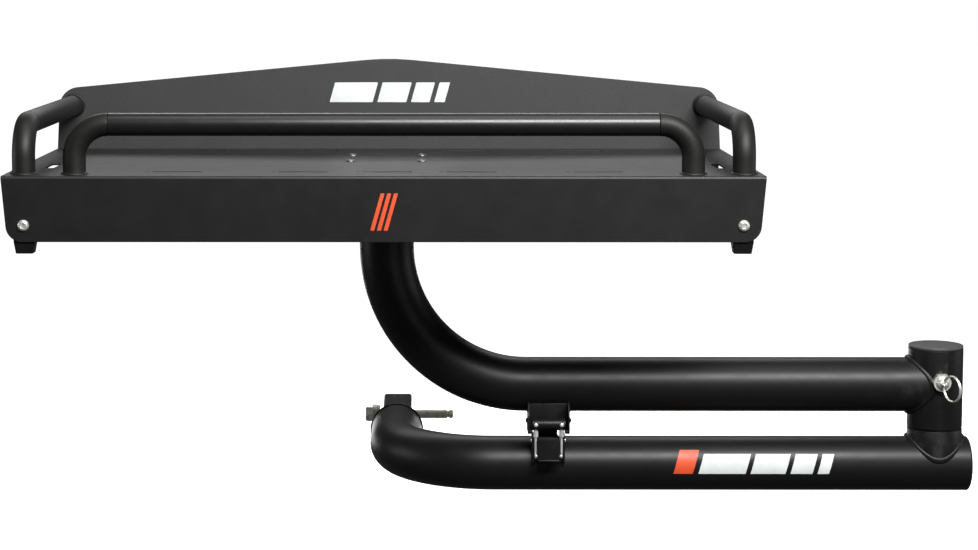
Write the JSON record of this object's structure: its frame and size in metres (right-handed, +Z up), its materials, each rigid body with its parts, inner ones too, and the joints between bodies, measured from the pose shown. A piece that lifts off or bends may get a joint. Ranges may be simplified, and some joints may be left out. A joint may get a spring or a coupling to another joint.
{
  "type": "hitch cargo carrier",
  "caption": "Swing-away hitch carrier: a folded steel tray with rails and a back panel on a bent tube arm, pivoting on a lower arm with a square hitch shank.",
  "frame": {"origin": "centre of the hitch pin hole, on the axis of the shank", "axes": "+Y along the shank towards the vehicle, +X to the right of somebody standing behind the vehicle and facing it, +Z up"},
  "size_m": [1.5278, 0.8003, 0.7022],
  "materials": {
    "powder_coat": "satin black powder coat with a fine texture",
    "rubber": "matt black moulded rubber",
    "zinc": "bright zinc plate",
    "pin_steel": "dull plated steel",
    "bronze": "oiled sintered bronze",
    "machined_steel": "turned steel"
  },
  "bodies": {
    "lower_arm": {"lower_arm_tube": "powder_coat", "lower_arm_end_cap": "powder_coat", "shank_end_plate": "powder_coat", "shank_tube": "powder_coat", "pivot_stub": "powder_coat", "pivot_spindle": "machined_steel", "thrust_washer": "bronze", "spindle_washer": "zinc", "spindle_bolt": "zinc", "arm_rest_block": "powder_coat", "arm_rest_pad": "rubber", "latch_base": "powder_coat", "latch_pivot_pin": "zinc"},
    "swing_arm": {"upper_arm_tube": "powder_coat", "pivot_sleeve": "powder_coat", "pivot_cap": "powder_coat", "riser_flange": "powder_coat", "latch_keeper_left": "powder_coat", "latch_keeper_right": "powder_coat", "deck_plate": "powder_coat", "front_fascia": "powder_coat", "end_apron_left": "powder_coat", "end_apron_right": "powder_coat", "rear_apron": "powder_coat", "back_panel": "powder_coat", "front_rail_bar": "powder_coat", "front_rail_elbow_left": "powder_coat", "front_rail_elbow_right": "powder_coat", "side_rail_bar_left": "powder_coat", "side_rail_bar_right": "powder_coat", "side_rail_elbow_left": "powder_coat", "side_rail_elbow_right": "powder_coat", "foot_front_left": "rubber", "foot_front_right": "rubber", "foot_back_left": "rubber", "foot_back_right": "rubber", "lock_pin_housing": "zinc", "flange_bolt_front_left": "zinc", "flange_bolt_back_left": "zinc", "flange_bolt_front_right": "zinc", "flange_bolt_back_right": "zinc", "rail_bolt_left": "zinc", "rail_bolt_right": "zinc", "panel_bolt_left": "zinc", "panel_bolt_right": "zinc", "foot_bolt_front_left": "zinc", "foot_bolt_front_right": "zinc", "foot_bolt_back_left": "zinc", "foot_bolt_back_right": "zinc", "lower_bushing": "bronze", "upper_bushing": "bronze", "rail_plug_left": "machined_steel", "rail_plug_right": "machined_steel"},
    "latch_handle": {"latch_handle": "powder_coat"},
    "latch_bail": {"latch_bail": "powder_coat"},
    "lock_pin": {"lock_pin": "zinc"},
    "lock_ring": {"lock_ring": "zinc"},
    "hitch_pin": {"hitch_pin": "pin_steel", "hitch_pin_washer": "pin_steel"}
  },
  "joints": [
    {"name": "arm_swing", "type": "hinge", "parent": "lower_arm", "child": "swing_arm", "pos_m": [0.888, -0.414, 0], "axis": [0, 0, 1], "range_deg": [0, 180]},
    {"name": "lock_pin_pull", "type": "slide", "parent": "swing_arm", "child": "lock_pin", "axis": [0, -1, 0], "range_m": [0, 0.012], "stiffness_N_per_m": 600, "springref_m": -0.004},
    {"name": "lock_ring_swing", "type": "hinge", "parent": "lock_pin", "child": "lock_ring", "pos_m": [0.888, -0.479, 0.143], "axis": [0.0986, -0.2022, 0.9744], "range_deg": [-100, 55]},
    {"name": "latch_handle_swing", "type": "hinge", "parent": "lower_arm", "child": "latch_handle", "pos_m": [0.25, -0.464, 0.048], "axis": [-1, 0, 0], "range_deg": [0, 140]},
    {"name": "latch_bail_swing", "type": "hinge", "parent": "latch_handle", "child": "latch_bail", "pos_m": [0.25, -0.474, 0.024], "axis": [-1, 0, 0], "range_deg": [-140, 0]},
    {"name": "hitch_pin_pull", "type": "slide", "parent": "lower_arm", "child": "hitch_pin", "axis": [-1, 0, 0], "range_m": [0, 0.15]}
  ],
  "couplings": [
    {"joint": "latch_bail_swing", "follows": "latch_handle_swing", "ratio": -1}
  ]
}
